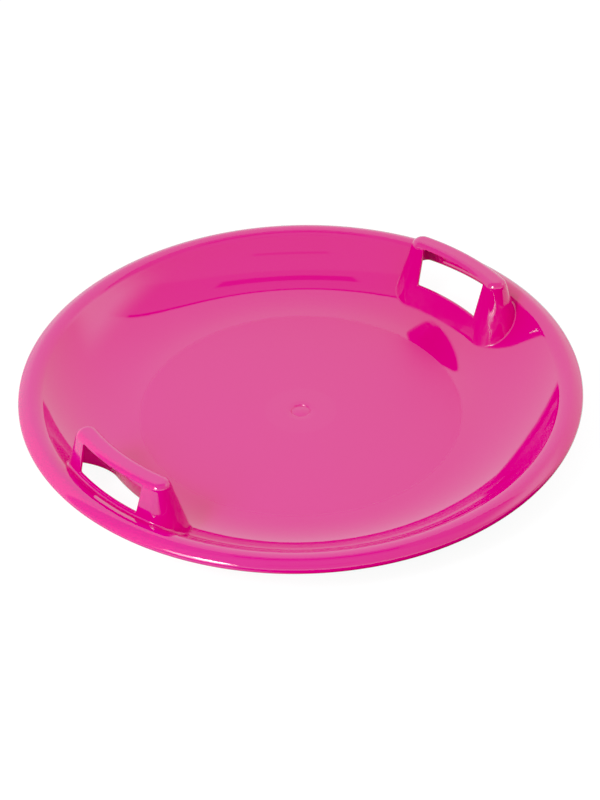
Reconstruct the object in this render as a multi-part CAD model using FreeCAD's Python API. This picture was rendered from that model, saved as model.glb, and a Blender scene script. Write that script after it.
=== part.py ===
import FreeCAD, Part
import math
import os

# Saucer sled: a round, dished moulding with a turned-down rim and two hollow hand holds.
# Millimetres, +Z up. The origin is the centre of the flat underside, and the hand holds lie on X.

# Dish
sled_diameter = 600.0
floor_border = 9.0
bowl_width = 104.2
bowl_depth = 45.6
bowl_crest_bend = 18.0
wall = 3.0

# Rim, which bends down from the crest, then over a shoulder, and then down to the lip
rim_width = 13.8
rim_crest_bend = 11.0
crest_slope = math.radians(20)
shoulder_slope = math.radians(40)
lip_bend = 6.2

# Gate dimple in the middle of the floor
gate_mouth_diameter = 22.0
gate_floor_diameter = 14.0
gate_depth = 1.2

# Hand holds
handle_height = 81.5
handle_span = 112.0
handle_rim_gap = 14.7
handle_draft = math.radians(15.9)
grip_flat_width = 8.5
grip_inner_radius = 5.0
foot_radius = 2.0
foot_margin = 1.0

# Hand window through both walls of a hand hold, a little narrower at the sills
window_top_width = 92.0
window_draft = math.radians(3.6)
window_corner_radius = 2.0
grip_skirt = 4.2
inner_sill_height = 34.7
outer_sill_height = 45.8

# Cuts run past their faces by this much
overrun = 10.0

# Points along each bend of the bowl's section, the lengths that the rim is turned in, and the share of the wall
# within which two faces touch
bend_points = 12
rim_lengths = 8
touch_share = 0.02

# Worked-out sizes of the dish section
X_AXIS = FreeCAD.Vector(1, 0, 0)
Z_AXIS = FreeCAD.Vector(0, 0, 1)
ORIGIN = FreeCAD.Vector(0, 0, 0)
outer_radius = sled_diameter / 2
crest_radius = outer_radius - rim_width
bowl_start = crest_radius - bowl_width
floor_radius = bowl_start - floor_border
crest_top = wall + bowl_depth
bowl_bend = (bowl_width ** 2 + bowl_depth ** 2) / (2 * bowl_depth) - bowl_crest_bend
bowl_turn = math.asin(bowl_width / (bowl_bend + bowl_crest_bend))
shoulder_run = rim_width - rim_crest_bend * math.sin(crest_slope) - lip_bend * (1 - math.sin(shoulder_slope))
shoulder_bend = shoulder_run / (math.sin(shoulder_slope) - math.sin(crest_slope))

# Worked-out sizes of a hand hold
grip_bend = grip_inner_radius + wall
grip_bend_z = handle_height - grip_bend
window_top = handle_height - grip_skirt
foot_reach = foot_margin + foot_radius
outer_foot_radius = crest_radius - handle_rim_gap


def section_point(radius, height):
    """A point of a section in the XZ plane."""
    return FreeCAD.Vector(radius, 0, height)


def on_bend(centre, radius, slope):
    """The point of a bend at this radius from its centre, where the section falls outwards at this slope."""
    return section_point(centre.x + radius * math.sin(slope), centre.z + radius * math.cos(slope))


def line(start, end):
    return Part.LineSegment(start, end).toShape()


def arc(start, middle, end):
    return Part.Arc(start, middle, end).toShape()


def bend_arc(centre, radius, start, end):
    """Arc of a rim bend from one slope to another."""
    middle = (start + end) / 2
    return arc(on_bend(centre, radius, start), on_bend(centre, radius, middle), on_bend(centre, radius, end))


bowl_centre = section_point(bowl_start, wall + bowl_bend)
bowl_crest_centre = section_point(crest_radius, crest_top - bowl_crest_bend)
rim_crest_centre = section_point(crest_radius, crest_top - rim_crest_bend)
shoulder_centre = on_bend(rim_crest_centre, rim_crest_bend - shoulder_bend, crest_slope)
lip_centre = on_bend(shoulder_centre, shoulder_bend - lip_bend, shoulder_slope)


def bowl_curve(inset):
    """One smooth curve up the bowl and over to the crest, this far under the upper face."""
    points = []
    for step in range(bend_points):
        slope = -bowl_turn * step / bend_points
        points.append(on_bend(bowl_centre, -bowl_bend - inset, slope))
    for step in range(bend_points + 1):
        slope = -bowl_turn * (bend_points - step) / bend_points
        points.append(on_bend(bowl_crest_centre, bowl_crest_bend - inset, slope))
    curve = Part.BSplineCurve()
    curve.interpolate(Points=points, InitialTangent=X_AXIS, FinalTangent=X_AXIS)
    return curve.toShape()


def rim_arcs(inset):
    """Arcs down from the crest, over the shoulder and down to the lip, this far under the upper face."""
    return [
        bend_arc(rim_crest_centre, rim_crest_bend - inset, 0, crest_slope),
        bend_arc(shoulder_centre, shoulder_bend - inset, crest_slope, shoulder_slope),
        bend_arc(lip_centre, lip_bend - inset, shoulder_slope, math.pi / 2),
    ]


def turned(edges, angle=360):
    """The solid that a closed section makes as it turns about the sled's axis."""
    section = Part.Face(Part.Wire(Part.__sortEdges__(edges)))
    return section.revolve(ORIGIN, Z_AXIS, angle)


def floor_disc():
    """Flat round floor, with the gate dimple in its upper face."""
    gate_floor = wall - gate_depth
    outline = [
        section_point(0, 0),
        section_point(floor_radius, 0),
        section_point(floor_radius, wall),
        section_point(gate_mouth_diameter / 2, wall),
        section_point(gate_floor_diameter / 2, gate_floor),
        section_point(0, gate_floor),
        section_point(0, 0),
    ]
    return Part.Face(Part.makePolygon(outline)).revolve(ORIGIN, Z_AXIS, 360)


def bowl_ring():
    """Flat border of the floor and the curved wall up to the crest, of one thickness."""
    edges = [
        line(section_point(floor_radius, wall), section_point(bowl_start, wall)),
        bowl_curve(0),
        line(section_point(crest_radius, crest_top), section_point(crest_radius, crest_top - wall)),
        bowl_curve(wall),
        line(section_point(bowl_start, 0), section_point(floor_radius, 0)),
        line(section_point(floor_radius, 0), section_point(floor_radius, wall)),
    ]
    return turned(edges)


def rim_ring():
    """Turned-down rim outside the crest, which ends in a round bead."""
    bead_radius = wall / 2
    bead_middle = section_point(outer_radius - bead_radius, lip_centre.z - bead_radius)
    lip_outside = section_point(outer_radius, lip_centre.z)
    lip_inside = section_point(outer_radius - wall, lip_centre.z)
    ends = [
        arc(lip_outside, bead_middle, lip_inside),
        line(section_point(crest_radius, crest_top), section_point(crest_radius, crest_top - wall)),
    ]
    lengths = []
    for turn in range(rim_lengths):
        length = turned(rim_arcs(0) + rim_arcs(wall) + ends, 360 / rim_lengths)
        length.rotate(ORIGIN, Z_AXIS, turn * 360 / rim_lengths)
        lengths.append(length)
    return lengths[0].fuse(lengths[1:])


def space_below():
    """Everything under the bowl and the rim, which a hand hold doesn't reach into."""
    base = -overrun
    lip_inside = section_point(outer_radius - wall, lip_centre.z)
    edges = [
        bowl_curve(wall),
        line(lip_inside, section_point(outer_radius - wall, base)),
        line(section_point(outer_radius - wall, base), section_point(bowl_start, base)),
        line(section_point(bowl_start, base), section_point(bowl_start, 0)),
    ]
    return turned(rim_arcs(wall) + edges)


def bowl_height(radius, inset=0):
    """Height of the bowl at this distance from the sled's axis, this far under its upper face."""
    low_bend = bowl_bend + inset
    high_bend = bowl_crest_bend - inset
    if radius < bowl_start + low_bend * math.sin(bowl_turn):
        return bowl_centre.z - math.sqrt(low_bend ** 2 - (radius - bowl_start) ** 2)
    return bowl_crest_centre.z + math.sqrt(high_bend ** 2 - (crest_radius - radius) ** 2)


def hump_half_width(height, inset=0):
    """Half the width of a hand hold at this height, inset square to its walls."""
    bend = grip_bend - inset
    bend_end_width = grip_flat_width / 2 + bend * math.cos(handle_draft)
    bend_end_z = grip_bend_z + bend * math.sin(handle_draft)
    return bend_end_width + (bend_end_z - height) * math.tan(handle_draft)


def hump_corner(inset):
    """Bend between the top and a wall of a hand hold: its start, middle and end, as width and height."""
    bend = grip_bend - inset
    middle_turn = (math.pi / 2 + handle_draft) / 2
    points = []
    for turn in (math.pi / 2, middle_turn, handle_draft):
        points.append((grip_flat_width / 2 + bend * math.cos(turn), grip_bend_z + bend * math.sin(turn)))
    return points


handle_radius = outer_foot_radius - hump_half_width(bowl_height(outer_foot_radius))
handle_half_angle = math.degrees(handle_span / 2 / handle_radius)


def hump_middle(inset):
    """Bowed middle of a hand hold: its full section, turned about the sled's axis."""
    base = -overrun
    base_width = hump_half_width(base, inset)
    corner = hump_corner(inset)
    outside = [section_point(handle_radius + width, height) for width, height in corner]
    inside = [section_point(handle_radius - width, height) for width, height in corner]
    outer_base = section_point(handle_radius + base_width, base)
    inner_base = section_point(handle_radius - base_width, base)
    edges = [
        line(inside[0], outside[0]),
        arc(*outside),
        line(outside[2], outer_base),
        line(outer_base, inner_base),
        line(inner_base, inside[2]),
        arc(*inside),
    ]
    middle = turned(edges, 2 * handle_half_angle)
    middle.rotate(ORIGIN, Z_AXIS, -handle_half_angle)
    return middle


def hump_end(inset, side):
    """Half-cone end of a hand hold: half its section, turned about an upright axis at the end."""
    base = -overrun
    corner = hump_corner(inset)
    outside = [section_point(handle_radius + width, height) for width, height in corner]
    outer_base = section_point(handle_radius + hump_half_width(base, inset), base)
    axis_base = section_point(handle_radius, base)
    axis_top = section_point(handle_radius, corner[0][1])
    edges = [
        line(axis_top, outside[0]),
        arc(*outside),
        line(outside[2], outer_base),
        line(outer_base, axis_base),
        line(axis_base, axis_top),
    ]
    section = Part.Face(Part.Wire(edges))
    end = section.revolve(axis_base, Z_AXIS, side * 180)
    end.rotate(ORIGIN, Z_AXIS, side * handle_half_angle)
    return end


def hump(inset):
    """Solid drafted hump of a hand hold, with its surface this far inside the outer one."""
    return hump_middle(inset).fuse([hump_end(inset, 1), hump_end(inset, -1)]).removeSplitter()


def sill_half_width(sill_height):
    """Half the width of a hand window at its sill."""
    return window_top_width / 2 - (window_top - sill_height) * math.tan(window_draft)


def window(near_radius, far_radius, sill_height):
    """Straight cutter for one hand window, a trapezium with rounded corners."""
    top = window_top_width / 2
    sill = sill_half_width(sill_height)
    corners = [(-sill, sill_height), (sill, sill_height), (top, window_top), (-top, window_top)]
    points = [FreeCAD.Vector(near_radius, across, height) for across, height in corners]
    outline = Part.Face(Part.makePolygon(points + points[:1]))
    cutter = outline.extrude(FreeCAD.Vector(far_radius - near_radius, 0, 0))
    along = [edge for edge in cutter.Edges if abs(edge.tangentAt(edge.FirstParameter).x) > 0.5]
    return cutter.makeFillet(window_corner_radius, along)


def handle_shell():
    """Hollow hand hold on +X: the hump less its core and its two windows, down to the bowl's underside."""
    reach = hump_half_width(-overrun)
    inner_window = window(handle_radius - reach, handle_radius, inner_sill_height)
    outer_window = window(handle_radius, handle_radius + reach, outer_sill_height)
    return hump(0).cut([hump(wall), inner_window, outer_window, space_below()])


def opposite(shape):
    """The same shape half a turn round the sled."""
    copy = shape.copy()
    copy.rotate(ORIGIN, Z_AXIS, 180)
    return copy


def is_foot_edge(edge, inset):
    """Whether an edge runs where a hand hold's skin meets the bowl's, both this far inside the upper face."""
    near = touch_share * wall
    half_angle = math.radians(handle_half_angle)
    for parameter in (edge.FirstParameter, (edge.FirstParameter + edge.LastParameter) / 2, edge.LastParameter):
        point = edge.valueAt(parameter)
        radius = math.hypot(point.x, point.y)
        if not bowl_start < radius < crest_radius or abs(point.z - bowl_height(radius, inset)) > near:
            return False
        angle = min(half_angle, math.atan2(abs(point.y), abs(point.x)))
        along = abs(point.x) - handle_radius * math.cos(angle)
        across = abs(point.y) - handle_radius * math.sin(angle)
        if abs(math.hypot(along, across) - hump_half_width(point.z, inset)) > near:
            return False
    return True


def moulded_bowl():
    """Bowl and both hand holds as they are moulded, with the feet rounded to one thickness above and below."""
    hold = handle_shell()
    outside = hump(0)
    bowl = bowl_ring().cut([outside, opposite(outside)])
    joined = bowl.fuse([hold, opposite(hold)]).removeSplitter()
    for inset in (0, wall):
        feet = [edge for edge in joined.Edges if is_foot_edge(edge, inset)]
        joined = joined.makeFillet(foot_radius + inset, feet)
    return joined


def block(low, high):
    """Box between two corners."""
    size = high - low
    return Part.makeBox(size.x, size.y, size.z, low)


def handle_nodes(hold):
    """A moulded hand hold on +X, parted into its grip, its two posts and its two sills."""
    low = -overrun
    high = handle_height + overrun
    half = sled_diameter
    inner_half = sill_half_width(inner_sill_height)
    outer_half = sill_half_width(outer_sill_height)
    above = block(FreeCAD.Vector(0, -half, window_top), FreeCAD.Vector(half, half, high))
    inner = block(
        FreeCAD.Vector(0, -inner_half, low),
        FreeCAD.Vector(handle_radius, inner_half, inner_sill_height),
    )
    outer = block(
        FreeCAD.Vector(handle_radius, -outer_half, low),
        FreeCAD.Vector(half, outer_half, outer_sill_height),
    )
    front = block(FreeCAD.Vector(0, -half, low), FreeCAD.Vector(half, 0, high))
    rear = block(FreeCAD.Vector(0, 0, low), FreeCAD.Vector(half, half, high))
    posts = hold.cut([above, inner, outer])
    return {
        "grip": hold.common(above),
        "inner_sill": hold.common(inner),
        "outer_sill": hold.common(outer),
        "front_post": posts.common(front),
        "rear_post": posts.common(rear),
    }


def build():
    """Every named piece of the sled."""
    moulding = moulded_bowl()
    zone = hump(-foot_reach)
    pieces = {
        "floor_disc": floor_disc(),
        "bowl_wall": moulding.cut([zone, opposite(zone)]),
        "rim": rim_ring(),
    }
    for name, shape in handle_nodes(moulding.common(zone)).items():
        pieces["right_" + name] = shape
    swapped = {"front_post": "rear_post", "rear_post": "front_post"}
    for name in ("grip", "inner_sill", "outer_sill", "front_post", "rear_post"):
        pieces["left_" + swapped.get(name, name)] = opposite(pieces["right_" + name])
    return pieces


os.makedirs("parts", exist_ok=True)
for node, shape in build().items():
    shape.exportStep("parts/" + node + ".step")
    print(node, len(shape.Solids), "solid,", round(shape.Volume / 1000, 2), "cm3, valid", shape.isValid())
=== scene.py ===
"""Dressed saucer sled: numpy surfaces for its moulding, procedural polyethylene and a plain white studio.

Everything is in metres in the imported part's frame: +Z up, the origin under the middle of the floor, and the
hand holds on X.
"""

import logging
import math
from abc import ABC, abstractmethod
from dataclasses import dataclass, field
from enum import Enum
from typing import Any, ClassVar

import bmesh
import bpy
import numpy as np
from mathutils import Matrix, Vector


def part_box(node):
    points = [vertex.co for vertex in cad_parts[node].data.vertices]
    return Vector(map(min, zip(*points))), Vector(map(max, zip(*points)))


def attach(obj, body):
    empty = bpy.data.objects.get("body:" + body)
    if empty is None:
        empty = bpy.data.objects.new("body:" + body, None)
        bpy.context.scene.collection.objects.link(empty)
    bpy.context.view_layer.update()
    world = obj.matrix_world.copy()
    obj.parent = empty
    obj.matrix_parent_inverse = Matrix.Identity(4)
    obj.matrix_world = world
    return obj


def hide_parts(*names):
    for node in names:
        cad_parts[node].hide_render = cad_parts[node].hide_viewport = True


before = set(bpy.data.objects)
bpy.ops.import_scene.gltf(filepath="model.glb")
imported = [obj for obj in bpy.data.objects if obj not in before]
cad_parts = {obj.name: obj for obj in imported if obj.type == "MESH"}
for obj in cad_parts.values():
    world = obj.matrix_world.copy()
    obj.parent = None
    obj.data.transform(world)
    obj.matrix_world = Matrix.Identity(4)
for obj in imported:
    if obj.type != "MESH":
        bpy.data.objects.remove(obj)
log = logging.getLogger("saucer_sled")

MM = 0.001
BODY = "root"
WELD_DISTANCE = 0.002 * MM
SHARP_ANGLE = math.radians(35)
# The bowl and the rim each end in one thin step at the crest, so that their shading meets level there.
CREST_STEP = 0.05 * MM
# Rounds after which a hand hold's foot no longer moves on the bowl.
SETTLING_ROUNDS = 40
# Nearly all values of a noise texture lie between these two.
NOISE_RANGE = (0.3, 0.7)
# Level directions are taken to rise this much, so that they too meet the studio's ceiling.
LEAST_RISE = 0.01
# An edge of a ceiling panel that lies out of sight, in shares of the ceiling's height.
FAR = 100.0


def linear(colour: str) -> tuple[float, float, float, float]:
    """Turns an sRGB hex colour into linear light, by the standard's straight line and power.

    Args:
        colour: the colour as "#RRGGBB".

    Returns:
        Linear red, green and blue, and an alpha of one.
    """
    shares = [int(colour[i:i + 2], 16) / 255 for i in (1, 3, 5)]
    red, green, blue = (s / 12.92 if s <= 0.04045 else ((s + 0.055) / 1.055) ** 2.4 for s in shares)
    return red, green, blue, 1.0


def add_node(
    tree: bpy.types.NodeTree, kind: str, inputs: dict[str | int, Any] | None = None, **settings: Any
) -> bpy.types.Node:
    """Adds a node with its settings, and links or sets its inputs.

    Args:
        tree: the node tree that the node joins.
        kind: Blender's name of the node's type.
        inputs: a value, or the socket to link, for each named input.
        **settings: the node's own properties.

    Returns:
        The new node.
    """
    node = tree.nodes.new(kind)
    for name, value in settings.items():
        setattr(node, name, value)
    for name, value in (inputs or {}).items():
        if isinstance(value, bpy.types.NodeSocket):
            tree.links.new(value, node.inputs[name])
        else:
            node.inputs[name].default_value = value
    return node


def blank_tree(owner: bpy.types.ID) -> bpy.types.NodeTree:
    """Switches on the nodes of a material or a world, and clears them.

    Args:
        owner: the material or the world.

    Returns:
        Its empty node tree.
    """
    owner.use_nodes = True
    owner.node_tree.nodes.clear()
    return owner.node_tree


def in_scene(name: str, data: bpy.types.ID) -> bpy.types.Object:
    """Puts a new object into the scene, at the origin.

    Args:
        name: the object's name.
        data: its mesh, light or camera.

    Returns:
        The object.
    """
    made = bpy.data.objects.new(name, data)
    bpy.context.scene.collection.objects.link(made)
    return made


def aimed(plan: float, elevation: float) -> Vector:
    """Unit direction at an angle in plan, from +X, and an angle above the ground."""
    level = math.cos(elevation)
    return Vector((level * math.cos(plan), level * math.sin(plan), math.sin(elevation)))


def polar(radius: np.ndarray, angle: np.ndarray, height: np.ndarray) -> np.ndarray:
    """Points at a radius and an angle about the sled's axis, at a height.

    Args:
        radius: distance from the axis.
        angle: angle from +X, in radians.
        height: height above the ground.

    Returns:
        The points, with x, y and z on the last axis.
    """
    radius, angle, height = np.broadcast_arrays(radius, angle, height)
    return np.stack((radius * np.cos(angle), radius * np.sin(angle), height), axis=-1)


def turned(section: np.ndarray, angles: np.ndarray) -> np.ndarray:
    """A section, as rows of radius and height, carried round the sled's axis through the angles."""
    return polar(section[:, :1], angles[None, :], section[:, 1:])


def swung(points: np.ndarray, angle: float) -> np.ndarray:
    """Points swung about the sled's axis by an angle: each times the turn's matrix."""
    return points @ np.array(Matrix.Rotation(angle, 3, "Z")).T


def between(start: np.ndarray, end: np.ndarray, shares: np.ndarray) -> np.ndarray:
    """Straight steps from each point of a row to its match in another, a row for each share of the way."""
    steps = shares.reshape(-1, *([1] * start.ndim))
    return start + (end - start) * steps


def border_of(across: np.ndarray, down: np.ndarray) -> np.ndarray:
    """The closed border of a grid of two parameters: along its first row, down, back and up again.

    Args:
        across: the first parameter of each column.
        down: the second parameter of each row.

    Returns:
        Rows of both parameters, with the first again at the end.
    """
    grid = np.stack(np.meshgrid(across, down), axis=-1)
    return np.concatenate((grid[0, :-1], grid[:-1, -1], grid[-1, :0:-1], grid[::-1, 0]))


def turned_between(start: np.ndarray, end: np.ndarray, steps: int) -> np.ndarray:
    """Unit directions that turn evenly from one row of unit directions to another.

    Each is the sum of the two directions, weighted by the sines of the angles that are left and done.

    Args:
        start: the first directions.
        end: the last directions.
        steps: how many equal steps the turn takes.

    Returns:
        A grid of directions, with one row more than steps.
    """
    angle = np.arccos(np.clip(np.sum(start * end, axis=-1, keepdims=True), -1, 1))
    shares = np.linspace(0, 1, steps + 1).reshape(-1, *([1] * start.ndim))
    return (start * np.sin((1 - shares) * angle) + end * np.sin(shares * angle)) / np.sin(angle)


def rounded_outline(
    corners: np.ndarray, radius: float, counts: tuple[int, ...], bend_steps: int
) -> np.ndarray:
    """Closed outline of straight sides and round corners, from the middle of the first corner's bend.

    Each side is half of the bend at its start, a straight run and half of the bend at its end. A bend's
    points lie at the corner's centre plus the radius times a direction that turns evenly from one side's
    normal to the next's.

    Args:
        corners: the corners in clockwise order, as rows of two coordinates.
        radius: radius of the bends.
        counts: steps of each side, the first from the first corner to the second.
        bend_steps: steps of half a bend.

    Returns:
        The outline's points, with the first again at the end.
    """
    along = np.roll(corners, -1, axis=0) - corners
    along /= np.linalg.norm(along, axis=1, keepdims=True)
    normal = np.stack((-along[:, 1], along[:, 0]), axis=-1)
    before = np.roll(normal, 1, axis=0)
    middle = (before + normal) / np.linalg.norm(before + normal, axis=1, keepdims=True)
    inward = (before + normal) / (1 + np.sum(before * normal, axis=1, keepdims=True))
    centre = corners - radius * inward
    rows = []
    for i, count in enumerate(counts):
        j = (i + 1) % len(corners)
        run = between(centre[i], centre[j], np.linspace(0, 1, count - 2 * bend_steps + 1))
        rows.append(centre[i] + radius * turned_between(middle[i], normal[i], bend_steps)[:-1])
        rows.append(run + radius * normal[i])
        rows.append((centre[j] + radius * turned_between(normal[i], middle[j], bend_steps))[1:-1])
    outline = np.concatenate(rows)
    return np.concatenate((outline, outline[:1]))


@dataclass
class Shell:
    """A closed mesh, gathered from grids of points that share their edges.

    Attributes:
        name: the piece's name.
        points: the points of each grid.
        quads: the corners of each grid's quads, as numbers of points.
    """

    name: str
    points: list[np.ndarray] = field(default_factory=list)
    quads: list[np.ndarray] = field(default_factory=list)

    def add(self, grid: np.ndarray) -> None:
        """Adds the quads of one grid.

        Args:
            grid: the points, with rows, columns and coordinates as its axes.
        """
        rows, columns = grid.shape[:2]
        first = sum(len(points) for points in self.points)
        number = first + np.arange(rows * columns).reshape(rows, columns)
        corners = (number[:-1, :-1], number[1:, :-1], number[1:, 1:], number[:-1, 1:])
        self.points.append(grid.reshape(-1, 3))
        self.quads.append(np.stack(corners, axis=-1).reshape(-1, 4))

    def piece(self) -> bpy.types.Object:
        """Welds the grids into one mesh with its faces outwards, smooth but for its true edges.

        Returns:
            The new object, which lies at the origin with its place in its mesh.
        """
        mesh = bpy.data.meshes.new(self.name)
        mesh.from_pydata(np.concatenate(self.points), [], np.concatenate(self.quads))
        work = bmesh.new()
        work.from_mesh(mesh)
        bmesh.ops.remove_doubles(work, verts=work.verts, dist=WELD_DISTANCE)
        bmesh.ops.recalc_face_normals(work, faces=work.faces)
        open_edges = sum(not edge.is_manifold for edge in work.edges)
        work.to_mesh(mesh)
        work.free()
        mesh.shade_smooth()
        mesh.set_sharp_from_angle(angle=SHARP_ANGLE)
        log.info("%s: %d faces, %d open edges", self.name, len(mesh.polygons), open_edges)
        return in_scene(self.name, mesh)


@dataclass(frozen=True)
class DishSection:
    """Section of the dish, flat floor, bowl, crest and turned-down rim, and the steps of its grids.

    The bowl is two arcs that meet smoothly, one that leaves the floor's border level and one that ends level
    on the crest. The rim is three arcs that meet smoothly: down from the crest, over a flatter shoulder, and
    down to the lip.

    Attributes:
        floor_radius: radius of the satin floor.
        outer_radius: radius of the lip.
        crest_top: height of the crest.
        wall: thickness of the moulding.
        floor_border: width of the flat, polished border between the satin floor and the bowl.
        bowl_crest_bend: radius of the bowl's bend below the crest, on the upper face.
        close_slope: slope on that bend down to which the bowl's rows lie closest.
        rim_width: width of the rim in plan, from the top of the crest to the lip.
        rim_crest_bend: radius of the rim's bend next to the crest.
        crest_slope: slope of the rim where that bend ends and the shoulder begins.
        shoulder_slope: slope of the rim where the shoulder ends and the lip's bend begins.
        lip_bend: radius of the lip's bend.
        around_steps: steps of a whole turn, the same in all pieces so that neighbours share their points.
        bowl_steps: steps over the border, the first arc, and the steep and the level part of the second.
        rim_steps: steps over each of the rim's arcs.
    """

    floor_radius: float
    outer_radius: float
    crest_top: float
    wall: float
    floor_border: float = 9 * MM
    bowl_crest_bend: float = 18 * MM
    close_slope: float = math.radians(28)
    rim_width: float = 13.8 * MM
    rim_crest_bend: float = 11 * MM
    crest_slope: float = math.radians(20)
    shoulder_slope: float = math.radians(40)
    lip_bend: float = 6.2 * MM
    around_steps: int = 720
    bowl_steps: tuple[int, int, int, int] = (2, 16, 20, 10)
    rim_steps: tuple[int, int, int] = (14, 14, 18)

    @classmethod
    def from_frame(cls) -> "DishSection":
        """Reads the section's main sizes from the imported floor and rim.

        Returns:
            The section.
        """
        floor_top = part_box("floor_disc")[1]
        rim_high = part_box("rim")[1]
        return cls(floor_top.x, rim_high.x, rim_high.z, floor_top.z)

    @property
    def depths(self) -> tuple[float, float]:
        """Depths of the moulding's two faces under its upper face."""
        return 0.0, self.wall

    @property
    def crest_radius(self) -> float:
        """Distance from the axis to the top of the crest."""
        return self.outer_radius - self.rim_width

    @property
    def bowl_start(self) -> float:
        """Distance from the axis to where the bowl begins to rise."""
        return self.floor_radius + self.floor_border

    @property
    def bowl_bend(self) -> float:
        """Radius of the bowl's first arc.

        Returns:
            The sum of the squares of the bowl's run and rise over twice its rise, less its other bend.
        """
        run = self.crest_radius - self.bowl_start
        rise = self.crest_top - self.wall
        return (run ** 2 + rise ** 2) / (2 * rise) - self.bowl_crest_bend

    @property
    def bowl_turn(self) -> float:
        """Slope of the bowl where its two arcs meet."""
        return math.asin((self.crest_radius - self.bowl_start) / (self.bowl_bend + self.bowl_crest_bend))

    def angles(self) -> np.ndarray:
        """Angles of a whole turn, with the first again at the end."""
        return np.linspace(0, 2 * math.pi, self.around_steps + 1)

    def slope(self, radius: np.ndarray, depth: float) -> np.ndarray:
        """Slope of a face of the floor and the bowl: its sine is the run along an arc over the arc's radius.

        Args:
            radius: distance from the axis.
            depth: how far the face lies under the upper face.

        Returns:
            The slope at each distance.
        """
        steepest = math.sin(self.bowl_turn)
        rising = (radius - self.bowl_start) / (self.bowl_bend + depth)
        easing = (self.crest_radius - radius) / (self.bowl_crest_bend - depth)
        return np.arcsin(np.clip(np.where(rising < steepest, rising, easing), 0, steepest))

    def height(self, radius: np.ndarray, depth: float) -> np.ndarray:
        """Height of a face of the floor and the bowl: an arc's centre and radius times the slope's cosine.

        Args:
            radius: distance from the axis.
            depth: how far the face lies under the upper face.

        Returns:
            The height at each distance.
        """
        level = np.cos(self.slope(radius, depth))
        low = self.wall + self.bowl_bend - (self.bowl_bend + depth) * level
        high = self.crest_top - self.bowl_crest_bend + (self.bowl_crest_bend - depth) * level
        seam = self.bowl_start + (self.bowl_bend + depth) * math.sin(self.bowl_turn)
        return np.where(radius < seam, low, high)

    def bowl_point(self, radius: np.ndarray, angle: np.ndarray, depth: float) -> np.ndarray:
        """Points of the bowl's face at a depth, at a distance from the axis and an angle about it."""
        return polar(radius, angle, self.height(radius, depth))

    def bowl_radii(self) -> np.ndarray:
        """Distances from the axis of the bowl's rows, in equal steps of slope on each part of its arcs.

        The rows are closest below the crest, where a low camera looks along the bowl and would see facets.

        Returns:
            The distances, from the floor's edge to one thin step before the crest.
        """
        border, rise, steep, level = self.bowl_steps
        turn = self.bowl_turn
        last = CREST_STEP / self.bowl_crest_bend
        crest_slopes = np.concatenate((
            np.linspace(turn, self.close_slope, steep + 1)[1:],
            np.linspace(self.close_slope, last, level + 1)[1:],
        ))
        return np.concatenate((
            np.linspace(self.floor_radius, self.bowl_start, border + 1),
            self.bowl_start + self.bowl_bend * np.sin(np.linspace(0, turn, rise + 1)[1:]),
            self.crest_radius - self.bowl_crest_bend * np.sin(crest_slopes),
        ))

    def rim_row(self, depth: float) -> np.ndarray:
        """The rim's three arcs from the crest to the lip: each a centre plus a radius times a direction.

        Args:
            depth: how far the face lies under the rim's upper face.

        Returns:
            Rows of radius and height.
        """
        start, end = self.crest_slope, self.shoulder_slope
        crest, shoulder, lip = self.rim_steps
        run = self.rim_width - self.rim_crest_bend * math.sin(start) - self.lip_bend * (1 - math.sin(end))
        shoulder_bend = run / (math.sin(end) - math.sin(start))
        bends = (self.rim_crest_bend, shoulder_bend, self.lip_bend)
        slopes = (
            np.concatenate(((0,), np.linspace(CREST_STEP / self.rim_crest_bend, start, crest + 1))),
            np.linspace(start, end, shoulder + 1)[1:],
            np.linspace(end, math.pi / 2, lip + 1)[1:],
        )
        ways = [np.stack((np.sin(slope), np.cos(slope)), axis=-1) for slope in slopes]
        centres = [np.array((self.crest_radius, self.crest_top - self.rim_crest_bend))]
        for i in (0, 1):
            centres.append(centres[i] + (bends[i] - bends[i + 1]) * ways[i][-1])
        arcs = [centre + (bend - depth) * way for centre, bend, way in zip(centres, bends, ways)]
        return np.concatenate(arcs)


class MouldFace(Enum):
    """How the face of the mould was finished, which the moulding takes on, by the name of its slot."""

    POLISHED = "gloss_moulding"
    SATIN = "satin_floor"


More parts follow.
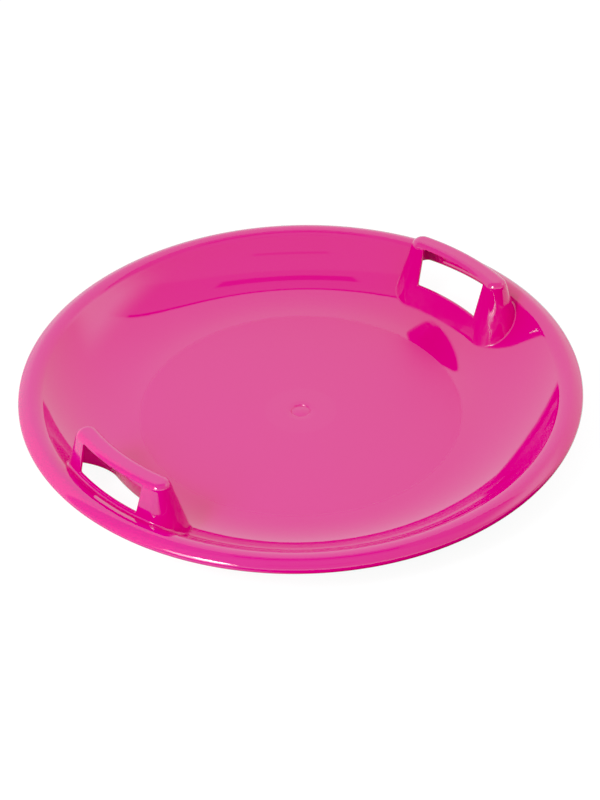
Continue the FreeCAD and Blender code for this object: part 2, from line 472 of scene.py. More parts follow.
@dataclass(frozen=True)
class MouldedPolyethylene:
    """Self-coloured polyethylene, injection moulded: an even colour, and a wet gloss from a polished mould.

    Attributes:
        face: the finish of the mould.
        shine: the least and the greatest roughness.
        relief_pitch: distance from one wave or grain of the face to the next.
        relief_height: height of those waves or grains.
        bright_circle: radius about the sled's axis within which the mould is rubbed brighter.
        bright_edge: width over which the brighter circle fades.
        bright_share: share of the roughness that is left in it.
        deep: the colour in sRGB where the pigment lies thicker.
        pale: the colour where it lies thinner.
        drift_pitch: distance from one such place to the next.
        ior: index of refraction of the polyethylene's skin.
    """

    face: MouldFace
    shine: tuple[float, float]
    relief_pitch: float
    relief_height: float
    bright_circle: float = 0.0
    bright_edge: float = 1 * MM
    bright_share: float = 0.75
    deep: str = "#BC0072"
    pale: str = "#C00075"
    drift_pitch: float = 70 * MM
    ior: float = 1.58

    def material(self) -> bpy.types.Material:
        """Makes the material: slow drifts of colour and shine, and the relief that the mould leaves.

        Returns:
            A procedural material on Object coordinates.
        """
        made = bpy.data.materials.new("polyethylene_" + self.face.name.lower() + "_mould")
        tree = blank_tree(made)
        place = add_node(tree, "ShaderNodeTexCoord").outputs["Object"]
        drift, relief = (
            add_node(tree, "ShaderNodeTexNoise", {
                "Vector": place, "Scale": 1 / pitch, "Detail": 1.0,
            }).outputs["Fac"]
            for pitch in (self.drift_pitch, self.relief_pitch)
        )
        colour = add_node(tree, "ShaderNodeMix", {
            "Factor": drift, "A": linear(self.deep), "B": linear(self.pale),
        }, data_type="RGBA").outputs["Result"]
        spread = add_node(tree, "ShaderNodeMapRange", {
            "Value": drift,
            "From Min": NOISE_RANGE[0],
            "From Max": NOISE_RANGE[1],
            "To Min": self.shine[0],
            "To Max": self.shine[1],
        }).outputs["Result"]
        reach = add_node(tree, "ShaderNodeVectorMath", {0: place}, operation="LENGTH").outputs["Value"]
        rubbed = add_node(tree, "ShaderNodeMapRange", {
            "Value": reach,
            "From Min": self.bright_circle - self.bright_edge / 2,
            "From Max": self.bright_circle + self.bright_edge / 2,
            "To Min": self.bright_share,
        }).outputs["Result"]
        rough = add_node(tree, "ShaderNodeMath", {0: spread, 1: rubbed}, operation="MULTIPLY")
        bump = add_node(tree, "ShaderNodeBump", {
            "Height": relief, "Distance": self.relief_height, "Strength": 1.0,
        })
        shader = add_node(tree, "ShaderNodeBsdfPrincipled", {
            "Base Color": colour,
            "Roughness": rough.outputs["Value"],
            "IOR": self.ior,
            "Normal": bump.outputs["Normal"],
        })
        add_node(tree, "ShaderNodeOutputMaterial", {"Surface": shader.outputs["BSDF"]})
        return made


@dataclass
class MouldedZone(ABC):
    """One zone of the moulding, which is a piece of its own.

    Attributes:
        section: the dish's section.
        mould_face: how the mould was finished there.
    """

    section: DishSection
    mould_face: ClassVar[MouldFace] = MouldFace.POLISHED

    @abstractmethod
    def build(self) -> bpy.types.Object:
        """Builds the zone's piece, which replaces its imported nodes."""

    def dress(self, piece: bpy.types.Object, finishes: dict[MouldFace, bpy.types.Material]) -> None:
        """Gives the zone's piece its finish, and puts it on the sled's one body.

        Args:
            piece: the zone's piece.
            finishes: the material for each finish of the mould.
        """
        piece.data.materials.append(finishes[self.mould_face])
        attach(piece, BODY)


@dataclass
class FloorPanel(MouldedZone):
    """Flat round floor with the shallow gate mark in its middle.

    Attributes:
        gate_mouth: radius of the gate mark at the floor's upper face.
        gate_floor: radius of the gate mark's bottom.
        gate_depth: depth of the gate mark.
        gate_dome: rise of the gate mark's bottom to its middle.
        gate_steps: steps down the gate mark's side, and as many over its bottom.
        face_steps: steps over the upper face.
    """

    mould_face: ClassVar[MouldFace] = MouldFace.SATIN
    gate_mouth: float = 11 * MM
    gate_floor: float = 9.4 * MM
    gate_depth: float = 1.2 * MM
    gate_dome: float = 1.1 * MM
    gate_steps: int = 8
    face_steps: int = 24

    def gate_mark(self) -> np.ndarray:
        """Section of the gate mark: a side that eases in and out, and a bottom that rises as a parabola.

        Returns:
            Rows of radius and height, from the mouth to the axis.
        """
        top = self.section.wall
        share = np.linspace(0, 1, self.gate_steps + 1)
        ease = share * share * (3 - 2 * share)
        side = np.stack((
            self.gate_mouth + (self.gate_floor - self.gate_mouth) * share,
            top - self.gate_depth * ease,
        ), axis=-1)
        inwards = 1 - share[1:]
        bottom = np.stack((
            self.gate_floor * inwards,
            top - self.gate_depth + self.gate_dome * (1 - inwards ** 2),
        ), axis=-1)
        return np.concatenate((side, bottom))

    def build(self) -> bpy.types.Object:
        """Turns the floor's closed section about the axis: underside, edge, upper face and gate mark.

        Returns:
            The floor's piece.
        """
        top = self.section.wall
        edge = self.section.floor_radius
        below = np.array([(0, 0), (edge / 2, 0), (edge, 0), (edge, top)])
        across = np.linspace(edge, self.gate_mouth, self.face_steps + 1)[1:-1]
        upper = np.stack((across, np.full_like(across, top)), axis=-1)
        shell = Shell("floor_panel")
        shell.add(turned(np.concatenate((below, upper, self.gate_mark())), self.section.angles()))
        piece = shell.piece()
        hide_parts("floor_disc")
        return piece


@dataclass
class Rim(MouldedZone):
    """Crest and turned-down rim, which ends in a round bead.

    Attributes:
        bead_steps: steps round the bead.
    """

    bead_steps: int = 12

    def bead(self, lip_height: float) -> np.ndarray:
        """The half circle under the lip, from its outside to its inside.

        Args:
            lip_height: height of the lip, where the half circle starts.

        Returns:
            Rows of radius and height.
        """
        radius = self.section.wall / 2
        turn = np.linspace(0, math.pi, self.bead_steps + 1)
        across = self.section.outer_radius - radius + radius * np.cos(turn)
        return np.stack((across, lip_height - radius * np.sin(turn)), axis=-1)

    def build(self) -> bpy.types.Object:
        """Turns the rim's closed section about the axis: upper face, bead and underside.

        Returns:
            The rim's piece.
        """
        over, under = (self.section.rim_row(depth) for depth in self.section.depths)
        bead = self.bead(over[-1, 1])
        shell = Shell("rim_shell")
        shell.add(turned(np.concatenate((over, bead[1:-1], under[::-1], over[:1])), self.section.angles()))
        piece = shell.piece()
        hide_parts("rim")
        return piece


class Wall(Enum):
    """The long walls of a hand hold, by their way from its centre line: to the rim, or inwards."""

    OUTER = 1
    INNER = -1


class Side(Enum):
    """The sides of the sled, by the first word of their nodes' names."""

    RIGHT = "right"
    LEFT = "left"

    @property
    def turn(self) -> float:
        """Angle about the sled's axis from the right side to this one."""
        return math.pi if self is Side.LEFT else 0.0

    def node(self, zone: str) -> str:
        """Name of a hand hold's zone, or of the whole hand hold, on this side."""
        return self.value + "_" + zone


@dataclass
class HandHold(MouldedZone):
    """Hollow drafted hand hold, bowed about the sled's axis, with a window through each long wall.

    A skin is a centre line plus a half width times a direction. The centre line is an arc about the sled's
    axis, there and back, and the direction is radial along it and turns half round at each end. The half
    width is that of the section at each height: a flat top, a bend, and a drafted wall down to the bowl. All
    of it is worked out on the right side and swung to its own.

    Attributes:
        side: the side of the sled that it is on.
        top: height of the grip.
        window_top: height of the windows' upper edge.
        sills: heights of the windows' lower edges.
        span: length of the centre line.
        rim_gap: gap in plan between the outer wall's foot and the top of the crest.
        draft: slope of the walls from upright.
        flat_width: width of the flat on the grip.
        bend: radius of the bend along the grip's edges.
        foot_bend: radius of the bend where the walls meet the bowl.
        window_width: width of the windows at their upper edge.
        window_draft: slope of the windows' sides.
        window_bend: radius of the windows' corners.
        window_edge: radius that the mould leaves along the windows' edges.
        arc_steps: steps along the centre line.
        wall_steps: steps down a wall.
        flat_steps: steps over half of the grip's flat.
        bend_steps: steps over the bend along the grip's edges.
        foot_steps: steps over the bend at the foot.
        corner_steps: steps over half of a window's corner.
        edge_steps: steps over the radius along a window's edge.
        panel_shares: rows of a long wall, as shares of the way from its border to its window.
    """

    side: Side
    top: float
    window_top: float
    sills: dict[Wall, float]
    span: float = 112 * MM
    rim_gap: float = 14.7 * MM
    draft: float = math.radians(15.9)
    flat_width: float = 8.5 * MM
    bend: float = 8 * MM
    foot_bend: float = 2 * MM
    window_width: float = 92 * MM
    window_draft: float = math.radians(3.6)
    window_bend: float = 2 * MM
    window_edge: float = 0.4 * MM
    arc_steps: int = 48
    wall_steps: int = 32
    flat_steps: int = 4
    bend_steps: int = 8
    foot_steps: int = 8
    corner_steps: int = 4
    edge_steps: int = 3
    panel_shares: tuple[float, ...] = (0, 0.25, 0.5, 0.75, 0.92, 1)

    @classmethod
    def from_frame(cls, section: DishSection, side: Side) -> "HandHold":
        """Reads a hand hold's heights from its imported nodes.

        Args:
            section: the dish's section.
            side: the side of the sled.

        Returns:
            The hand hold.
        """
        grip_low, grip_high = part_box(side.node("grip"))
        sills = {
            Wall.OUTER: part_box(side.node("outer_sill"))[1].z,
            Wall.INNER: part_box(side.node("inner_sill"))[1].z,
        }
        return cls(section, side, grip_high.z, grip_low.z, sills)

    @property
    def cap_steps(self) -> int:
        """Steps round one end, of which half face the bay's end and are in step with the bowl's rows."""
        return 2 * sum(self.section.bowl_steps)

    @property
    def bay_steps(self) -> int:
        """Steps along each long border of the hand hold's bay in the bowl."""
        return self.arc_steps + self.cap_steps // 2

    @property
    def centre_radius(self) -> float:
        """Distance from the sled's axis to the centre line, which keeps the outer foot's gap to the crest."""
        foot = self.section.crest_radius - self.rim_gap
        return foot - self.half_width(self.section.height(foot, 0), 0)

    @property
    def half_angle(self) -> float:
        """Angle about the sled's axis from the middle of the centre line to its end."""
        return self.span / 2 / self.centre_radius

    def half_width(self, height: np.ndarray, inset: float) -> np.ndarray:
        """Half the width at a height: half the flat plus the bend's circle, or plus the drafted wall's line.

        Args:
            height: height above the ground.
            inset: how far the skin is inset, square to the hand hold's outer face.

        Returns:
            The half width at each height.
        """
        bend = self.bend - inset
        rise = height - self.top + self.bend
        level = bend * math.sin(self.draft)
        drafted = bend * math.cos(self.draft) + (level - rise) * math.tan(self.draft)
        rounded = np.sqrt(np.maximum(bend ** 2 - rise ** 2, 0))
        return self.flat_width / 2 + np.where(rise > level, rounded, drafted)

    def path(self) -> tuple[np.ndarray, np.ndarray]:
        """The centre line and the directions of a skin: along the arc, round one end, back, round the other.

        Returns:
            Points of the centre line and unit directions, both level, with the first again at the end.
        """
        half = self.half_angle
        arc = np.linspace(-half, half, self.arc_steps + 1)[:-1]
        cap = np.linspace(0, math.pi, self.cap_steps + 1)[:-1]
        place = np.concatenate((arc, np.full_like(cap, half), -arc, np.full_like(cap, -half), arc[:1]))
        facing = np.concatenate((arc, half + cap, math.pi - arc, math.pi - half + cap, arc[:1]))
        level = np.zeros_like(place)
        return polar(self.centre_radius, place, level), polar(1.0, facing, level)

    def skin_row(self, half_width: np.ndarray, height: np.ndarray) -> np.ndarray:
        """One row of a skin: the centre line plus the half width times the direction, at the height.

        Args:
            half_width: one half width, or one for each point of the path.
            height: one height, or one for each point of the path.

        Returns:
            The row of points.
        """
        centre, facing = self.path()
        row = centre + facing * np.broadcast_to(half_width, len(centre))[:, None]
        row[:, 2] = height
        return row

    def settled(self, inset: float, depth: float) -> np.ndarray:
        """The row where an inset wall meets a face of the bowl, found by stepping from one to the other.

        Args:
            inset: how far the wall is inset; below zero, how far outside the hand hold.
            depth: how far the face lies under the bowl's upper face; below zero, over it.

        Returns:
            The row of points.
        """
        height = np.full(len(self.path()[0]), self.section.crest_top / 2)
        row = self.skin_row(self.half_width(height, inset), height)
        for _ in range(SETTLING_ROUNDS):
            height = self.section.height(np.hypot(row[:, 0], row[:, 1]), depth)
            row = self.skin_row(self.half_width(height, inset), height)
        return row

    def foot(self, depth: float) -> np.ndarray:
        """The bend at the foot: a ball of its radius rolls in the corner, and its skin joins both contacts.

        Args:
            depth: how far the bend lies under the upper face, so that the moulding keeps its thickness.

        Returns:
            Rows of points from the wall to the bowl.
        """
        ball = self.settled(-self.foot_bend, -self.foot_bend)
        facing = self.path()[1]
        to_wall = -math.cos(self.draft) * facing
        to_wall[:, 2] = -math.sin(self.draft)
        slope = self.section.slope(np.hypot(ball[:, 0], ball[:, 1]), -self.foot_bend)
        around = np.arctan2(ball[:, 1], ball[:, 0])
        to_bowl = polar(np.sin(slope), around, -np.cos(slope))
        return ball + (self.foot_bend + depth) * turned_between(to_wall, to_bowl, self.foot_steps)

    def edge(self, depth: float) -> np.ndarray:
        """The row where the hand hold joins the bowl's face at a depth."""
        return self.foot(depth)[-1]

    def edges(self) -> np.ndarray:
        """The two rows where it joins the bowl, on the upper face and on the underside."""
        return np.stack([self.edge(depth) for depth in self.section.depths])

    def crown(self, inset: float) -> np.ndarray:
        """The top of a skin: its flat, and its bend down to halfway to the windows.

        Along the bend, the half width grows by a cosine while the height falls by a sine.

        Args:
            inset: how far the skin is inset.

        Returns:
            Rows of points, from the centre line out.
        """
        bend = self.bend - inset
        edge = self.top - self.bend + bend
        lowest = (edge + self.window_top + self.window_edge) / 2 - self.top + self.bend
        flat = np.linspace(0, self.flat_width / 2, self.flat_steps + 1)[:-1]
        turn = np.linspace(math.pi / 2, math.asin(lowest / bend), self.bend_steps + 1)
        widths = np.concatenate((flat, self.flat_width / 2 + bend * np.cos(turn)))
        heights = np.concatenate((np.full_like(flat, edge), self.top - self.bend + bend * np.sin(turn)))
        return np.stack([self.skin_row(width, height) for width, height in zip(widths, heights)])

    def wall_radius(self, wall: Wall, height: np.ndarray, inset: float) -> np.ndarray:
        """Distance from the sled's axis to an inset long wall at a height."""
        return self.centre_radius + wall.value * self.half_width(height, inset)

    def on_wall(self, wall: Wall, inset: float, place: np.ndarray) -> np.ndarray:
        """Points of an inset long wall from their angles about the sled's axis and their heights."""
        height = place[..., 1]
        return polar(self.wall_radius(wall, height, inset), place[..., 0], height)

    def window(self, wall: Wall, inset: float, margin: float) -> np.ndarray:
        """Outline of a window on a long wall: a trapezium with round corners, seen along X.

        Args:
            wall: the long wall.
            inset: how far the skin is inset from the hand hold's outer face.
            margin: how far the outline lies outside the window.

        Returns:
            Rows of the angle about the sled's axis and the height, with the first again at the end.
        """
        high = self.window_top + margin
        low = self.sills[wall] - margin
        fall = math.tan(self.window_draft)
        top = self.window_width / 2 + margin
        sill = top - (high - low) * fall
        corners = np.array([(-top, high), (top, high), (sill, low), (-sill, low)])
        counts = (self.arc_steps, self.wall_steps, self.arc_steps, self.wall_steps)
        outline = rounded_outline(corners, self.window_bend + margin, counts, self.corner_steps)
        height = outline[:, 1]
        angle = np.arcsin(outline[:, 0] / self.wall_radius(wall, height, inset))
        return np.stack((angle, height), axis=-1)

    def panel(self, wall: Wall, inset: float, high: float, low: float) -> np.ndarray:
        """A long wall round its window: straight steps from the wall's border to the window's outline.

        Args:
            wall: the long wall.
            inset: how far the skin is inset.
            high: height of the wall's upper border.
            low: height of the wall's lower border.

        Returns:
            The grid of points.
        """
        across = np.linspace(-self.half_angle, self.half_angle, self.arc_steps + 1)
        border = border_of(across, np.linspace(high, low, self.wall_steps + 1))
        window = self.window(wall, inset, self.window_edge)
        return self.on_wall(wall, inset, between(border, window, np.array(self.panel_shares)))

    def tunnel(self, wall: Wall) -> np.ndarray:
        """The edge of a window through the wall's thickness, with a quarter round to each face.

        Args:
            wall: the long wall.

        Returns:
            The grid of points, from the outer face to the inner.
        """
        turn = np.linspace(0, math.pi / 2, self.edge_steps + 1)[:, None, None]
        wide_outer, outer, wide_inner, inner = (
            self.on_wall(wall, inset, self.window(wall, inset, margin))
            for inset in self.section.depths
            for margin in (self.window_edge, 0)
        )
        through = (inner - outer) / np.linalg.norm(inner - outer, axis=1, keepdims=True) * self.window_edge
        first = outer + (wide_outer - outer) * (1 - np.sin(turn)) + through * (1 - np.cos(turn))
        last = inner + (wide_inner - inner) * (1 - np.sin(turn)) - through * (1 - np.cos(turn))
        return np.concatenate((first, last[::-1]))

    def add_skin(self, shell: Shell, inset: float, lower: np.ndarray) -> None:
        """Adds one skin of the hand hold: its crown, its two round ends and its two long walls.

        Args:
            shell: the mesh that the skin joins.
            inset: how far the skin is inset from the hand hold's outer face.
            lower: the row of points where its walls end.
        """
        crown = self.crown(inset)
        shell.add(crown)
        upper = crown[-1]
        heights = between(upper[:, 2], lower[:, 2], np.linspace(0, 1, self.wall_steps + 1))
        walls = np.stack([self.skin_row(self.half_width(height, inset), height) for height in heights])
        first_cap = self.arc_steps
        second_cap = 2 * self.arc_steps + self.cap_steps
        for start in (first_cap, second_cap):
            shell.add(walls[:, start:start + self.cap_steps + 1])
        for wall, start in ((Wall.OUTER, 0), (Wall.INNER, first_cap + self.cap_steps)):
            shell.add(self.panel(wall, inset, upper[start, 2], lower[start, 2]))

    def build(self) -> bpy.types.Object:
        """Joins the outer and the inner skin through the windows' edges and along the bowl.

        Returns:
            The hand hold's piece.
        """
        shell = Shell(self.side.node("hand_hold"))
        for inset in self.section.depths:
            foot = self.foot(inset)
            self.add_skin(shell, inset, foot[0])
            shell.add(foot)
        shell.add(self.edges())
        for wall in Wall:
            shell.add(self.tunnel(wall))
        shell.points = [swung(points, self.side.turn) for points in shell.points]
        piece = shell.piece()
        zones = ("grip", "front_post", "rear_post", "inner_sill", "outer_sill")
        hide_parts(*[self.side.node(zone) for zone in zones])
        return piece


@dataclass
class BowlWall(MouldedZone):
    """Curved wall between the floor and the crest, open under both hand holds.

    Attributes:
        holds: the hand holds.
        bay: angle about the sled's axis from the middle of a hand hold to the end of its bay.
        ring_steps: steps from a hand hold to its bay's border.
        ring_power: power of those steps' shares, which gathers them at the hand hold.
    """

    holds: list[HandHold]
    bay: float = math.radians(24)
    ring_steps: int = 20
    ring_power: float = 1.4

    def border(self, hold: HandHold) -> np.ndarray:
        """The border of a hand hold's bay, in step with the hand hold's path.

        Args:
            hold: the hand hold.

        Returns:
            Rows of the angle about the axis and the distance from it, with the first again at the end.
        """
        across = np.linspace(-self.bay, self.bay, hold.bay_steps + 1)
        closed = border_of(across, self.section.bowl_radii()[::-1])
        rows = np.roll(closed[:-1], -(hold.cap_steps // 4), axis=0)
        return np.concatenate((rows, rows[:1]))

    def add_face(self, shell: Shell, depth: float) -> None:
        """Adds one face of the bowl: two plain stretches, and a bay round each hand hold.

        Args:
            shell: the mesh that the face joins.
            depth: how far the face lies under the bowl's upper face.
        """
        radii = self.section.bowl_radii()[:, None]
        shares = np.linspace(0, 1, self.ring_steps + 1) ** self.ring_power
        for hold in self.holds:
            plain = self.section.around_steps // 2 - hold.bay_steps
            angles = np.linspace(self.bay, math.pi - self.bay, plain + 1) + hold.side.turn
            shell.add(self.section.bowl_point(radii, angles, depth))
            edge = hold.edge(depth)
            near = np.stack((np.arctan2(edge[:, 1], edge[:, 0]), np.hypot(edge[:, 0], edge[:, 1])), axis=-1)
            place = between(near, self.border(hold), shares)
            shell.add(self.section.bowl_point(place[..., 1], place[..., 0] + hold.side.turn, depth))

    def build(self) -> bpy.types.Object:
        """Joins the upper face and the underside along the floor, the crest and the hand holds.

        Returns:
            The bowl's piece.
        """
        section = self.section
        shell = Shell("bowl_shell")
        angles = section.angles()[None, :]
        crest = section.crest_radius - np.array(((CREST_STEP,), (0,)))
        for depth in section.depths:
            self.add_face(shell, depth)
            shell.add(section.bowl_point(crest, angles, depth))
        for radius in (section.floor_radius, section.crest_radius):
            shell.add(np.concatenate([section.bowl_point(radius, angles, depth) for depth in section.depths]))
        for hold in self.holds:
            shell.add(swung(hold.edges(), hold.side.turn))
        piece = shell.piece()
        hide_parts("bowl_wall")
        return piece


@dataclass(frozen=True)
class SweepPaper:
    """White seamless paper, matt as rolled, which glows to the camera so that it shows only a faint shadow.

    Attributes:
        glow: its own light to the camera.
        white: its colour to the camera, on top of that light.
        grey: its colour in the sled's reflections, but for the shaded side.
        dark: its colour in them on the shaded side.
        shade: the shaded side, as azimuths and the distances that way between which the shade begins.
    """

    glow: float = 0.92
    white: str = "#5A5A5A"
    grey: str = "#E6E6E6"
    dark: str = "#404040"
    shade: tuple[tuple[float, float, float], ...] = (
        (math.radians(120), 0.08, 0.24),
        (math.radians(180), 0.05, 0.20),
    )

    def material(self, ahead: float) -> bpy.types.Material:
        """Makes the material, whose shade is the product of a soft step along each of its azimuths.

        Args:
            ahead: angle in plan straight away from the camera, which the azimuths are measured from.

        Returns:
            A procedural material on Object coordinates.
        """
        made = bpy.data.materials.new("white_paper_sweep")
        tree = blank_tree(made)
        seen = add_node(tree, "ShaderNodeLightPath").outputs["Is Camera Ray"]
        glow = add_node(tree, "ShaderNodeMath", {0: seen, 1: self.glow}, operation="MULTIPLY")
        place = add_node(tree, "ShaderNodeTexCoord").outputs["Object"]
        shade: float | bpy.types.NodeSocket = 1.0
        for azimuth, near, far in self.shade:
            reach = add_node(tree, "ShaderNodeVectorMath", {
                0: place, 1: aimed(ahead - azimuth, 0),
            }, operation="DOT_PRODUCT").outputs["Value"]
            inside = add_node(tree, "ShaderNodeMapRange", {
                "Value": reach, "From Min": near, "From Max": far,
            }, interpolation_type="SMOOTHSTEP").outputs["Result"]
            shade = add_node(tree, "ShaderNodeMath", {
                0: inside, 1: shade,
            }, operation="MULTIPLY").outputs["Value"]
        grey = add_node(tree, "ShaderNodeMix", {
            "Factor": shade, "A": linear(self.grey), "B": linear(self.dark),
        }, data_type="RGBA").outputs["Result"]
        colour = add_node(tree, "ShaderNodeMix", {
            "Factor": seen, "A": grey, "B": linear(self.white),
        }, data_type="RGBA")
        shader = add_node(tree, "ShaderNodeBsdfPrincipled", {
            "Base Color": colour.outputs["Result"],
            "Roughness": 1.0,
            "Specular IOR Level": 0.0,
            "Emission Color": linear("#FFFFFF"),
            "Emission Strength": glow.outputs["Value"],
        })
        add_node(tree, "ShaderNodeOutputMaterial", {"Surface": shader.outputs["BSDF"]})
        return made


@dataclass(frozen=True)
class SkyPanel:
    """A rectangle on the studio's ceiling, in shares of the ceiling's height.

    Attributes:
        strength: the panel's brightness.
        ahead: its near and far edge, measured away from the camera.
        aside: its left and right edge, as the camera sees them.
        soft: how softly its edges fade.
    """

    strength: float
    ahead: tuple[float, float]
    aside: tuple[float, float] = (-FAR, FAR)
    soft: float = 0.01


@dataclass(frozen=True)
class RoundLamp:
    """A round light that faces the sled.

    Attributes:
        name: the light's name.
        brightness: its brightness, in the sky's units.
        width: its diameter.
        azimuth: its direction in plan, from straight away from the camera towards the camera's right.
        elevation: its direction above the ground.
        distance: its distance from the sled.
    """

    name: str
    brightness: float
    width: float
    azimuth: float
    elevation: float
    distance: float = 2.2


@dataclass
class Studio:
    """White floor, a grey ceiling with darker and lighter panels, and a round key light.

    Attributes:
        camera_angle: the camera's angle about the sled's axis, which the studio is set out from.
        floor_size: side of the square floor.
        paper: the floor's finish.
        ceiling: brightness of the ceiling.
        panels: the ceiling's other parts, of which a later one covers an earlier one.
        lamps: the key light, as a bright middle in a wider front.
    """

    camera_angle: float
    floor_size: float = 12.0
    paper: SweepPaper = SweepPaper()
    ceiling: float = 0.74
    panels: tuple[SkyPanel, ...] = (
        # A lighter far side, and a lighter strip from overhead to the camera.
        SkyPanel(1.34, (0.39, FAR)),
        SkyPanel(0.90, (-1.3, -0.05)),
        # Three darker bars, which draw the fine dark lines on the back of the bowl.
        SkyPanel(0.10, (0.36, 0.39), (-0.46, 0.75)),
        SkyPanel(0.34, (0.064, 0.165), (-0.19, 0.27)),
        SkyPanel(0.62, (-0.43, -0.38), (-0.17, 0.24)),
        # A bright strip low behind the camera, and the dark room below it.
        SkyPanel(1.90, (-2.7, -1.3), (-6.0, 6.0)),
        SkyPanel(0.20, (-FAR, -2.7)),
        # A soft light on the right, which pales the left of the bowl.
        SkyPanel(2.2, (-0.12, 0.75), (0.95, 2.2), 0.30),
    )
    lamps: tuple[RoundLamp, ...] = (
        RoundLamp("key_core", 32.0, 0.42, math.radians(-143), math.radians(44)),
        RoundLamp("key_spill", 8.8, 0.9, math.radians(-141), math.radians(36)),
    )

    @property
    def ahead(self) -> float:
        """Angle in plan straight away from the camera."""
        return self.camera_angle + math.pi

    def floor(self) -> bpy.types.Object:
        """Lays the floor.

        Returns:
            The floor, which belongs to the stage.
        """
        half = self.floor_size / 2
        mesh = bpy.data.meshes.new("studio_floor")
        corners = [(-half, -half, 0), (half, -half, 0), (half, half, 0), (-half, half, 0)]
        mesh.from_pydata(corners, [], [(0, 1, 2, 3)])
        mesh.materials.append(self.paper.material(self.ahead))
        made = in_scene("studio_floor", mesh)
        log.info("laid %s", made.name)
        return made

    def sky(self) -> None:
        """Sets the sky: each direction meets the ceiling at its run ahead and aside over its rise."""
        world = bpy.data.worlds.new("studio_sky")
        tree = blank_tree(world)
        way = add_node(tree, "ShaderNodeTexCoord").outputs["Generated"]
        height = add_node(tree, "ShaderNodeSeparateXYZ", {"Vector": way}).outputs["Z"]
        rise = add_node(tree, "ShaderNodeMath", {
            0: height, 1: LEAST_RISE,
        }, operation="MAXIMUM").outputs["Value"]
        runs = []
        for azimuth in (0, math.pi / 2):
            along = add_node(tree, "ShaderNodeVectorMath", {
                0: way, 1: aimed(self.ahead - azimuth, 0),
            }, operation="DOT_PRODUCT").outputs["Value"]
            run = add_node(tree, "ShaderNodeMath", {0: along, 1: rise}, operation="DIVIDE")
            runs.append(run.outputs["Value"])
        light: float | bpy.types.NodeSocket = self.ceiling
        for panel in self.panels:
            mask: float | bpy.types.NodeSocket = 1.0
            for run, edges in zip(runs, (panel.ahead, panel.aside)):
                for edge, (before, after) in zip(edges, ((0, 1), (1, 0))):
                    side = add_node(tree, "ShaderNodeMapRange", {
                        "Value": run,
                        "From Min": edge - panel.soft,
                        "From Max": edge + panel.soft,
                        "To Min": before,
                        "To Max": after,
                    }, interpolation_type="SMOOTHSTEP").outputs["Result"]
                    mask = add_node(tree, "ShaderNodeMath", {
                        0: side, 1: mask,
                    }, operation="MULTIPLY").outputs["Value"]
            light = add_node(tree, "ShaderNodeMix", {
                "Factor": mask, "A": light, "B": panel.strength,
            }).outputs["Result"]
        back = add_node(tree, "ShaderNodeBackground", {"Color": linear("#FFFFFF"), "Strength": light})
        add_node(tree, "ShaderNodeOutputWorld", {"Surface": back.outputs["Background"]})
        bpy.context.scene.world = world

    def hang(self, lamp: RoundLamp) -> None:
        """Hangs one lamp, whose power is its brightness times pi times the area of its front.

        Args:
            lamp: the lamp.
        """
        data = bpy.data.lights.new(lamp.name, "AREA")
        data.shape = "DISK"
        data.size = lamp.width
        data.energy = lamp.brightness * math.pi * (math.pi / 4 * lamp.width ** 2)
        made = in_scene(lamp.name, data)
        way = aimed(self.ahead - lamp.azimuth, lamp.elevation)
        made.location = way * lamp.distance
        made.rotation_euler = way.to_track_quat("Z", "Y").to_euler()

    def build(self) -> None:
        """Sets up the floor, the sky and the lamps."""
        self.floor()
        self.sky()
        for lamp in self.lamps:
            self.hang(lamp)


@dataclass(frozen=True)
class CameraResponse:
    """How the photograph's camera shows light: strong red is held back, and the faintest green is lost.

    Attributes:
        red: points of the red curve, as shares of light in and light out.
        green: points of the green curve.
    """

    red: tuple[tuple[float, float], ...] = (
        (0.45, 0.55), (0.60, 0.68), (0.72, 0.725), (0.82, 0.748), (0.87, 0.775), (0.94, 0.935),
    )
    green: tuple[tuple[float, float], ...] = ((0.012, 0.001), (0.03, 0.022), (0.09, 0.10), (0.30, 0.33))

    def apply(self) -> None:
        """Sets the scene's view to plain colours through the two curves."""
        view = bpy.context.scene.view_settings
        view.view_transform = "Standard"
        view.use_curve_mapping = True
        for curve, points in zip(view.curve_mapping.curves, (self.red, self.green)):
            for place in points:
                curve.points.new(*place)
        view.curve_mapping.update()


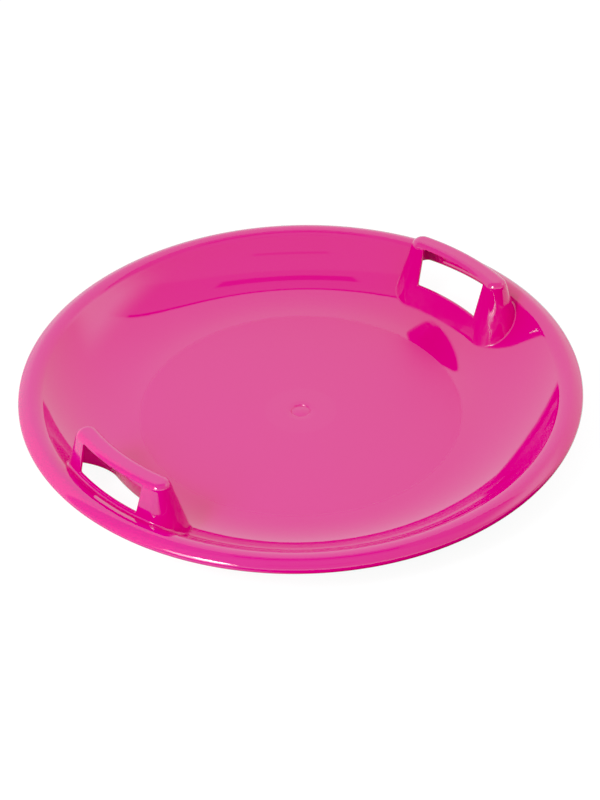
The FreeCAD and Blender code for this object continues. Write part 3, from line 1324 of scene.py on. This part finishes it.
@dataclass
class PhotoCamera:
    """The photograph's camera, which looks at the gate mark.

    Attributes:
        height: angle of the camera above the ground.
        angle: angle of the camera about the sled's axis, from +X.
        roll: turn of the picture, anticlockwise.
        distance: distance from the gate mark.
        scale: pixels of the picture to a metre at the gate mark.
        picture: the picture's width and height in pixels.
        target: the gate mark's pixel.
        sensor: the sensor's long side, in millimetres.
    """

    height: float = math.radians(38.2)
    angle: float = math.radians(227.45)
    roll: float = math.radians(1.38)
    distance: float = 2.55
    scale: float = 930.0
    picture: tuple[int, int] = (600, 800)
    target: tuple[float, float] = (300.8, 410.56)
    sensor: float = 36.0

    def build(self, gate: Vector) -> bpy.types.Object:
        """Places the camera.

        Args:
            gate: the point that the camera looks at.

        Returns:
            The scene's camera.
        """
        back = aimed(self.angle, self.height)
        right = Vector((-math.sin(self.angle), math.cos(self.angle), 0))
        up = back.cross(right)
        right, up = (
            math.cos(self.roll) * right - math.sin(self.roll) * up,
            math.sin(self.roll) * right + math.cos(self.roll) * up,
        )
        data = bpy.data.cameras.new("photo_camera")
        long_side = max(self.picture)
        data.sensor_width = self.sensor
        data.lens = self.sensor * self.scale * self.distance / long_side
        data.shift_x = (self.picture[0] / 2 - self.target[0]) / long_side
        data.shift_y = (self.target[1] - self.picture[1] / 2) / long_side
        made = in_scene("photo_camera", data)
        place = Matrix((right, up, back)).transposed().to_4x4()
        place.translation = gate + back * self.distance
        made.matrix_world = place
        bpy.context.scene.camera = made
        return made


def main() -> None:
    """Builds the sled's pieces, dresses them, and sets up the studio and the camera."""
    logging.basicConfig(level=logging.INFO)
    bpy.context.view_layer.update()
    section = DishSection.from_frame()
    holds = [HandHold.from_frame(section, side) for side in Side]
    finishes = (
        # Polished tool steel leaves a wet gloss whose reflections bend a little over long, low flow waves.
        MouldedPolyethylene(MouldFace.POLISHED, (0.04, 0.06), 45 * MM, 0.03 * MM),
        # A blasted mould leaves a soft sheen. Its real grain is about 0.2 mm, which the picture's pixels
        # cannot show, so the grain is drawn at 1.5 mm.
        MouldedPolyethylene(MouldFace.SATIN, (0.37, 0.39), 1.5 * MM, 0.004 * MM, 38.5 * MM),
    )
    materials = {finish.face: finish.material() for finish in finishes}
    zones: list[MouldedZone] = [FloorPanel(section), BowlWall(section, holds), Rim(section), *holds]
    for zone in zones:
        piece = zone.build()
        zone.dress(piece, materials)
        log.info("built %s", piece.name)
    camera = PhotoCamera()
    camera.build(Vector((0, 0, section.wall)))
    Studio(camera.angle).build()
    CameraResponse().apply()


if __name__ == "__main__":
    main()
